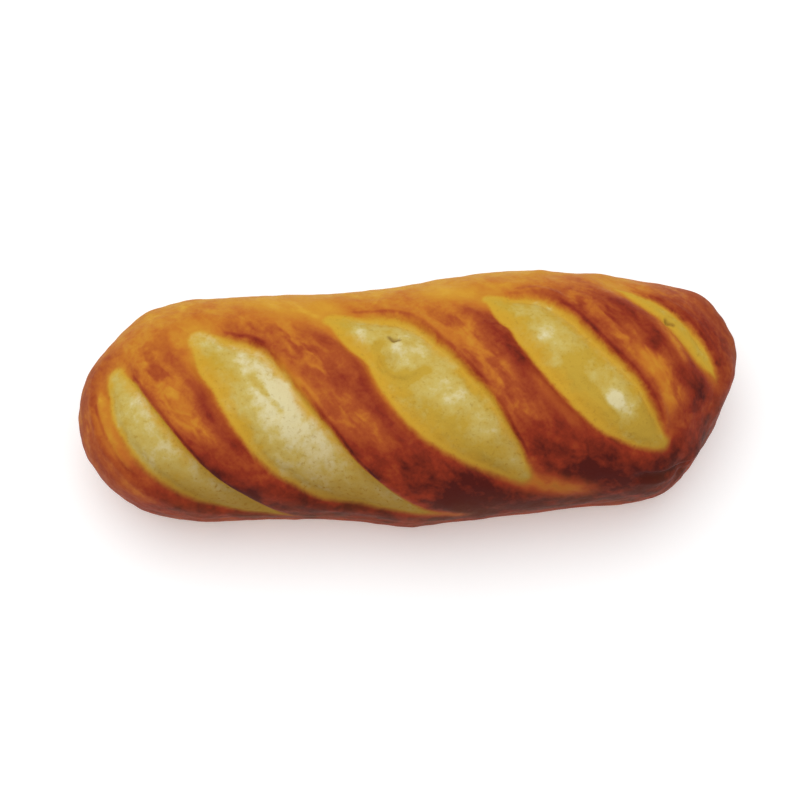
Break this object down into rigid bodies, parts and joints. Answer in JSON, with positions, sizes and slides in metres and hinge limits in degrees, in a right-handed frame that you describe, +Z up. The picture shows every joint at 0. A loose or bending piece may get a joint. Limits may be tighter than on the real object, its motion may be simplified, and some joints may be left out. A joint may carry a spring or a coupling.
{
  "type": "baguette",
  "caption": "Short plump crusty loaf with rounded ends, slanting slashes opened over the crown, and a flat sole to rest on.",
  "frame": {"origin": "under the middle of the loaf, on the surface that it rests on", "axes": "+X along the loaf, +Z up from the sole, -Y towards the front, where the slashes run down"},
  "size_m": [0.28, 0.1064, 0.0724],
  "materials": {
    "crust": "satin, baked crust"
  },
  "bodies": {
    "root": {"loaf": "crust"}
  },
  "joints": []
}
